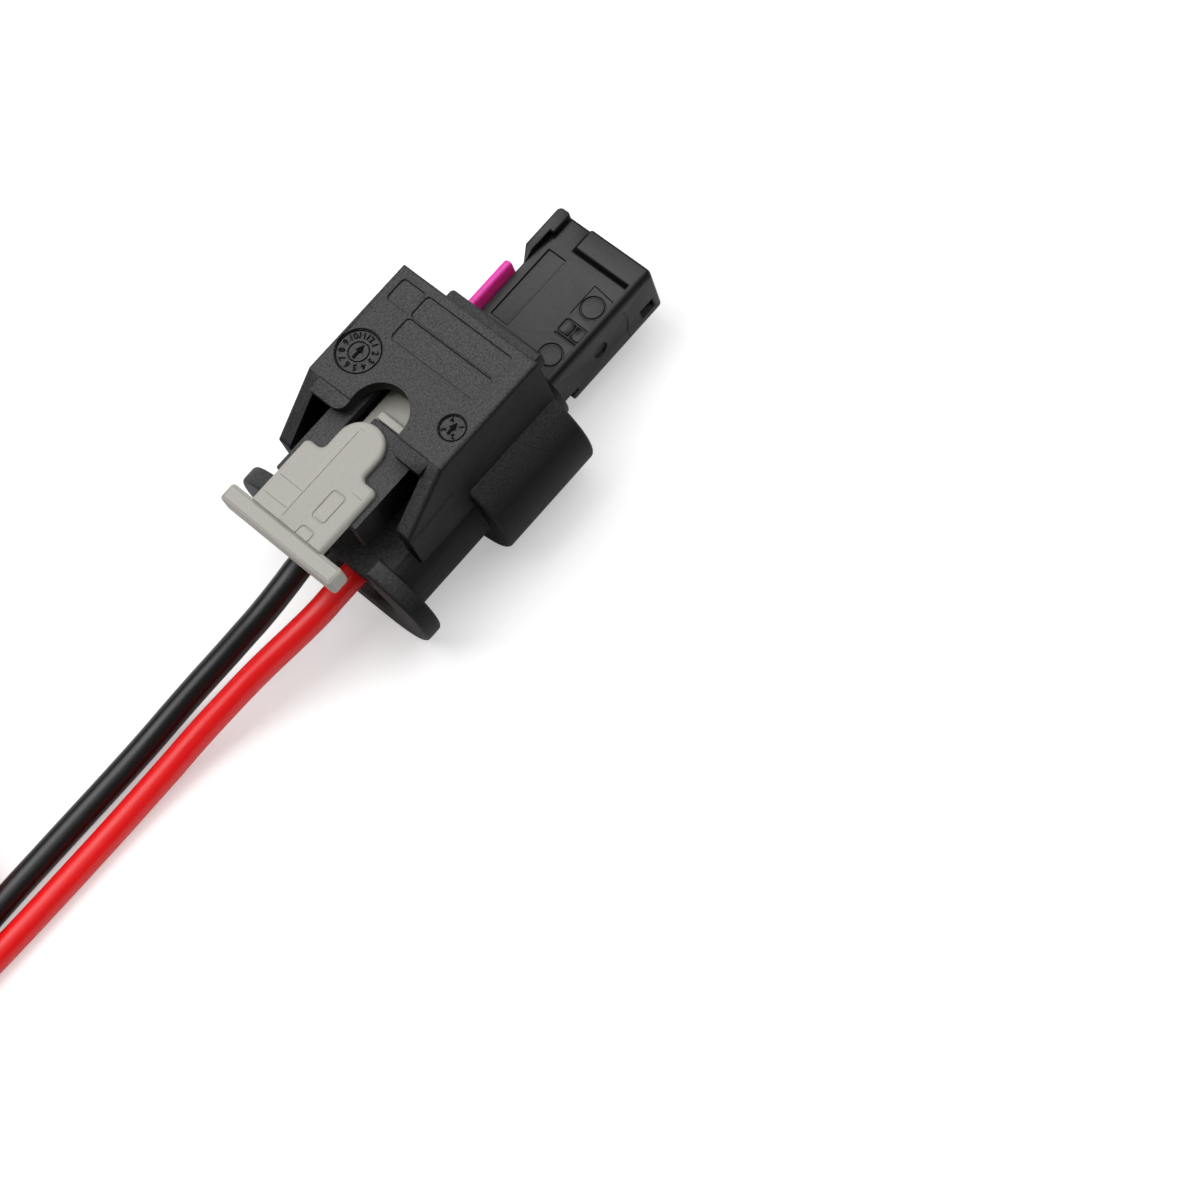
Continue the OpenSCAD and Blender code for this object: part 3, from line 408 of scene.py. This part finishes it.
print("plastic finishes:", [m.name for m in (housing_black, carrier_black, slide_grey, lock_magenta)])

# %% [markdown]
# ## Metal finishes
#
# The terminals are stamped from tinned sheet, their sleeves from spring steel, and the strands are
# bare copper. Rolling and drawing leave fine lines along the metal, which a stretched noise gives.

# %% Metals
def rolled_metal(name, colour, roughness):
    """A metal with fine lines along X, as rolling and drawing leave them."""
    material, tree = new_material(name)
    link = tree.links.new
    place = add(tree, "ShaderNodeTexCoord")
    stretch = add(tree, "ShaderNodeMapping", Scale=(300, 6000, 6000))
    lines = add(tree, "ShaderNodeTexNoise", Scale=1.0, Detail=2.0)
    rough = add(tree, "ShaderNodeMapRange", To_Min=roughness - 0.08, To_Max=roughness + 0.1)
    tint = add(tree, "ShaderNodeMixRGB", Color1=(*[c * 0.85 for c in colour], 1), Color2=(*colour, 1))
    metal = add(tree, "ShaderNodeBsdfPrincipled", Metallic=1.0)
    output = add(tree, "ShaderNodeOutputMaterial")
    link(place.outputs["Object"], stretch.inputs["Vector"])
    link(stretch.outputs["Vector"], lines.inputs["Vector"])
    link(lines.outputs["Fac"], rough.inputs["Value"])
    link(lines.outputs["Fac"], tint.inputs["Fac"])
    link(tint.outputs["Color"], metal.inputs["Base Color"])
    link(rough.outputs["Result"], metal.inputs["Roughness"])
    link(metal.outputs[0], output.inputs["Surface"])
    return material


tin = rolled_metal("tin", (0.62, 0.62, 0.60), 0.35)
spring_steel = rolled_metal("spring_steel", (0.52, 0.53, 0.55), 0.3)
copper = rolled_metal("copper", (0.75, 0.36, 0.2), 0.35)
carried_over = {
    "radial_seal": seal_black, "wire_seal_black": seal_black, "wire_seal_red": seal_black,
    "terminal_black": tin, "terminal_red": tin,
    "spring_sleeve_black": spring_steel, "spring_sleeve_red": spring_steel,
    "strands_black": copper, "strands_red": copper,
}
for node, finish in carried_over.items():
    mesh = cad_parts[node].data
    mesh.materials.clear()
    mesh.materials.append(finish)
for tip in tips.values():
    tip.data.materials.append(copper)
print("CAD pieces with a new finish:", len(carried_over))

# %% [markdown]
# ## Rounded mould edges
#
# No edge of a moulding is sharp: the mould's own corners give each one a small radius, and that
# radius is what catches the light in the photograph. The CAD solids have sharp edges, so each
# visible moulding is a copy of its solid with the flat faces joined and the edges rounded. A bevel
# with one width for all would be held back by the narrowest groove, so each edge gets a weight of
# its own: the radius that the piece wants there, or less where a neighbouring edge is too short.

# %% Rounding of edges
def room_beside(edge):
    """How far a rounding may reach into the two faces beside an edge."""
    side_share, bend_share = 0.45, 0.6
    flat, corner = radians(1), radians(40)
    room = inf
    length = edge.calc_length()
    for loop in edge.link_loops:
        along = loop.link_loop_next.vert.co - loop.vert.co
        for other in (loop.link_loop_prev, loop.link_loop_next):
            beside = other.link_loop_next.vert.co - other.vert.co
            turn = along.angle(beside, 0)
            if other.edge.calc_face_angle(0) < flat:
                continue
            if turn > corner:
                room = min(room, side_share * beside.length)
            elif turn > flat:
                room = min(room, bend_share * length / (2 * tan(turn / 2)))
    return room


def even_out(work, radii, bend=50):
    """Gives edges that run on into one another the same radius, the smallest of them."""
    pairs = []
    for vert in work.verts:
        meeting = [edge for edge in vert.link_edges if edge in radii]
        for one, two in combinations(meeting, 2):
            turn = pi - (one.other_vert(vert).co - vert.co).angle(two.other_vert(vert).co - vert.co)
            if turn < radians(bend):
                pairs.append((one, two))
    settled = False
    while not settled:
        settled = True
        for one, two in pairs:
            if radii[one] != radii[two]:
                radii[one] = radii[two] = min(radii[one], radii[two])
                settled = False


def round_edges(piece, radius_at, segments=3):
    """Rounds the sharp edges of a piece; radius_at gives the radius in mm for an edge's middle in mm."""
    flat, sharp = radians(1), radians(35)
    mesh = piece.data
    work = bmesh.new()
    work.from_mesh(mesh)
    bmesh.ops.remove_doubles(work, verts=work.verts, dist=0.002 * MM)
    bmesh.ops.dissolve_limit(work, angle_limit=flat, verts=work.verts, edges=work.edges)
    weight = work.edges.layers.float.new("bevel_weight_edge")
    radii = {}
    for edge in work.edges:
        if len(edge.link_faces) == 2 and edge.calc_face_angle(0) > sharp:
            middle = (edge.verts[0].co + edge.verts[1].co) / 2 / MM
            radii[edge] = min(radius_at(middle) * MM, room_beside(edge))
    even_out(work, radii)
    widest = max(radii.values())
    for edge, radius in radii.items():
        edge[weight] = radius / widest
    work.to_mesh(mesh)
    work.free()
    mesh.polygons.foreach_set("use_smooth", [True] * len(mesh.polygons))
    rounding = piece.modifiers.new("mould_edges", "BEVEL")
    rounding.limit_method = "WEIGHT"
    rounding.width = widest
    rounding.segments = segments
    rounding.use_clamp_overlap = False
    rounding.loop_slide = False
    rounding.harden_normals = True
    bpy.context.view_layer.objects.active = piece
    bpy.ops.object.modifier_apply(modifier=rounding.name)
    piece.data.set_sharp_from_angle(angle=radians(40))


def soften(piece, grid=0.08, passes=30):
    """Gives a piece a fine even mesh and smooths it, so that every edge turns into a soft round."""
    piece.data.transform(Matrix.Scale(1 / MM, 4))
    even = piece.modifiers.new("even_mesh", "REMESH")
    even.mode = "VOXEL"
    even.voxel_size = grid
    smooth = piece.modifiers.new("soft_edges", "SMOOTH")
    smooth.factor = 0.5
    smooth.iterations = passes
    bpy.context.view_layer.objects.active = piece
    for step in (even.name, smooth.name):
        bpy.ops.object.modifier_apply(modifier=step)
    piece.data.transform(Matrix.Scale(MM, 4))
    piece.data.polygons.foreach_set("use_smooth", [True] * len(piece.data.polygons))


def moulding(node, body, finish, radius_at=None):
    """Makes the visible copy of a CAD solid; without radii it is softened all over."""
    piece = put(f"moulded_{node}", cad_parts[node].data.copy())
    if radius_at:
        round_edges(piece, radius_at)
    else:
        soften(piece)
    piece.data.materials.clear()
    piece.data.materials.append(finish)
    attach(piece, body)
    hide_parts(node)
    low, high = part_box(node)
    past = max(max(low[k] - v.co[k], v.co[k] - high[k]) for v in piece.data.vertices for k in range(3))
    print(node, "has", len(piece.data.polygons), "faces and stands", round(past / MM, 3), "mm out")
    return piece


# %% [markdown]
# ## The mouldings
#
# Each moulding wants its own radii. The cover's long side edges are rounder than the rest of the
# housing, and so are the edges of the stop bar across the carrier. The slide's upper edges are
# already round in the CAD solid, so only the tight edges are left to do. The lock is small and soft
# in outline, so it is melted a little instead: an even mesh, smoothed a few times.

# %% Mouldings
lever_edge = 0.16
slide_edge = 0.12
tie_edge = 0.1


def housing_radius(middle):
    """Rounder on the cover's long side edges."""
    return 0.4 if middle.z > 11 and abs(middle.y) > 6.9 else 0.3


def carrier_radius(middle):
    """Rounder on the stop bar."""
    return 0.3 if middle.x > 15.5 and middle.z > 7.7 else 0.16


moulding("housing", "shell", housing_black, housing_radius)
moulding("contact_carrier", "shell", carrier_black, carrier_radius)
moulding("latch_lever", "latch", housing_black, lambda middle: lever_edge)
moulding("assurance_slide", "slide", slide_grey, lambda middle: slide_edge)
moulding("secondary_lock", "lock", lock_magenta)
tie = moulding("coil_tie", "shell", tie_white, lambda middle: tie_edge)

# %% [markdown]
# ## What a wire is
#
# A wire is not a stiff part: it has a length, a thickness, a place where it leaves the housing and
# things that ride on it. The tie holds both coils.

# %% [markdown]
# ## The date dial
#
# Moulds for such parts hold a small round insert that marks when the part was made: the months
# stand around its rim and a turning arrow in the middle points to one of them. It presses into
# the cover's recess, so its numbers and rings stand up from the recess floor and end just under
# the cover's top. Numbers come from Blender's own font, turned to flat raised shapes.

# %% Date dial
numeral_half = 0.05


def add_ring(work, centre, outer, inner, low, high, sides=64):
    """Adds a flat ring, in mm, with its edges slightly sloped as a mould needs."""
    slope = 0.25 * (high - low)
    section = [(outer, low), (outer - slope, high), (inner + slope, high), (inner, low)]
    rings = []
    for k in range(sides):
        turn = 2 * pi * k / sides
        around = [(centre[0] + r * cos(turn), centre[1] + r * sin(turn), z) for r, z in section]
        rings.append([work.verts.new(Vector(place) * MM) for place in around])
    for k in range(sides):
        for a in range(4):
            b = (a + 1) % 4
            work.faces.new((rings[k - 1][a], rings[k][a], rings[k][b], rings[k - 1][b]))


def add_plate(work, outline, low, high):
    """Adds a flat raised shape with the given outline, in mm."""
    foot = [work.verts.new(Vector((x, y, low)) * MM) for x, y in outline]
    top = [work.verts.new(Vector((x, y, high)) * MM) for x, y in outline]
    work.faces.new(top)
    work.faces.new(reversed(foot))
    for k in range(len(outline)):
        work.faces.new((foot[k - 1], foot[k], top[k], top[k - 1]))


def add_numeral(work, text, size, place):
    """Adds a raised number; place is a matrix in metres that takes it to its seat."""
    letters = bpy.data.curves.new("numeral", "FONT")
    letters.body = text
    letters.size = size * MM
    letters.extrude = numeral_half * MM
    letters.align_x = "CENTER"
    letters.align_y = "CENTER"
    letters.resolution_u = 4
    holder = put("numeral", letters)
    bpy.context.view_layer.update()
    mesh = bpy.data.meshes.new_from_object(holder.evaluated_get(bpy.context.evaluated_depsgraph_get()))
    mesh.transform(place)
    work.from_mesh(mesh)
    bpy.data.objects.remove(holder)
    bpy.data.curves.remove(letters)


def arrow_outline(centre, length, width):
    """An arrow that points along +X."""
    back, tip = centre[0] - length / 2, centre[0] + length / 2
    neck = tip - width
    half = [(back, width * 0.18), (neck, width * 0.18), (neck, width * 0.5), (tip, 0)]
    upper = [(x, centre[1] + y) for x, y in half]
    lower = [(x, centre[1] - y) for x, y in reversed(half[:-1])]
    return upper + lower


cover_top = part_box("housing")[1][2] / MM
mark_low = cover_top - 0.17
mark_high = cover_top - 0.05


def raised_dial(name, at, rings, arrow, numbers, number_size, number_out, first_turn):
    """Rings, an arrow and numbers from 1 up, clockwise, on the floor of one recess; sizes in mm."""
    work = bmesh.new()
    for outer, inner in rings:
        add_ring(work, at, outer, inner, mark_low, mark_high)
    add_plate(work, arrow_outline(at, *arrow), mark_low, mark_high)
    seat = Matrix.Translation(Vector((*at, mark_high - numeral_half)) * MM)
    out = Matrix.Translation(Vector((number_out, 0, 0)) * MM) @ Matrix.Rotation(radians(-90), 4, "Z")
    for number in range(1, numbers + 1):
        turn = Matrix.Rotation(radians(first_turn - 360 / numbers * number), 4, "Z")
        add_numeral(work, str(number), number_size, seat @ turn @ out)
    return mesh_piece(name, work)


date_dial = raised_dial("date_dial", at=(-2.95, 4.75), rings=[(1.84, 1.74), (0.88, 0.78)],
                        arrow=(1.3, 0.62), numbers=12, number_size=0.72, number_out=1.31, first_turn=0)
shift_dial = raised_dial("shift_dial", at=(-3.25, -5.4), rings=[(1.07, 0.97)],
                         arrow=(1.1, 0.6), numbers=4, number_size=0.62, number_out=0.66, first_turn=45)
for piece in (date_dial, shift_dial):
    piece.data.materials.append(insert_black)
    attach(piece, "shell")
print("dial faces:", len(date_dial.data.polygons), len(shift_dial.data.polygons))

# %% [markdown]
# ## Mould lines
#
# A mould is built from several blocks. Where two of them meet, a hair of plastic creeps into the
# joint and stays on the part as a fine raised line. The photograph shows such lines across the
# slide, along one wing and on the carrier. Each is a thin ridge laid on the surface, so that light
# and shadow draw it.

# %% Mould lines
def add_ridge(work, points, outward, half_width=0.06, height=0.06):
    """Adds a fine raised line along points, in mm, on a surface that looks outward."""
    section = [(-half_width, -0.03), (-0.5 * half_width, 0.7 * height), (0, height),
               (0.5 * half_width, 0.7 * height), (half_width, -0.03)]
    rings = []
    for i, point in enumerate(points):
        ahead = points[min(i + 1, len(points) - 1)] - points[max(i - 1, 0)]
        across = ahead.cross(outward).normalized()
        rings.append([work.verts.new((point + a * across + rise * outward) * MM) for a, rise in section])
    for ring, following in zip(rings, rings[1:]):
        for k in range(len(section)):
            work.faces.new((ring[k - 1], ring[k], following[k], following[k - 1]))
    work.faces.new(rings[0])
    work.faces.new(reversed(rings[-1]))


def mould_lines(name, lines, outward, body, finish):
    """One piece of several ridges, with the finish of what it lies on."""
    work = bmesh.new()
    for line in lines:
        add_ridge(work, [Vector(point) for point in line], Vector(outward))
    piece = mesh_piece(name, work)
    piece.data.materials.append(finish)
    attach(piece, body)
    return piece


slide_top = 16.17
ridge_top = 16.29
wing_side = -7.05
carrier_side = -4.75
carrier_floor = 7.8
across_slide = [
    [(-15.46, 0.9, slide_top), (-15.46, 3.25, slide_top)],
    [(-13.73, 0.9, slide_top), (-13.73, 3.25, slide_top)],
    [(-11.5, -2.3, slide_top), (-11.5, -3.25, slide_top)],
    [(-16.1, 0.69, ridge_top), (-7.6, 0.69, ridge_top)],
]
along_wing = [[(-11.2, wing_side, 12.71), (-9.5, wing_side, 12.8), (-8.4, wing_side, 12.93),
               (-6.3, wing_side, 13.17)]]
down_carrier = [[(14.3, carrier_side, 7.07), (14.45, carrier_side, 6.35), (14.38, carrier_side, 5.6),
                 (14.1, carrier_side, 4.7), (14.05, carrier_side, 3.6)]]
on_carrier = [[(11.5, -1.6, carrier_floor), (14.52, -1.6, carrier_floor)],
              [(14.52, -1.63, carrier_floor), (14.25, -3.9, carrier_floor)]]
up, aside = (0, 0, 1), (0, -1, 0)
lines = [
    mould_lines("slide_mould_lines", across_slide, up, "slide", slide_grey),
    mould_lines("wing_mould_line", along_wing, aside, "shell", housing_black),
    mould_lines("carrier_side_line", down_carrier, aside, "shell", carrier_black),
    mould_lines("carrier_floor_lines", on_carrier, up, "shell", carrier_black),
]
print("mould lines:", [piece.name for piece in lines])

# %% [markdown]
# ## Last update
#
# The scene is brought up to date once more.

# %% Last update
bpy.context.view_layer.update()
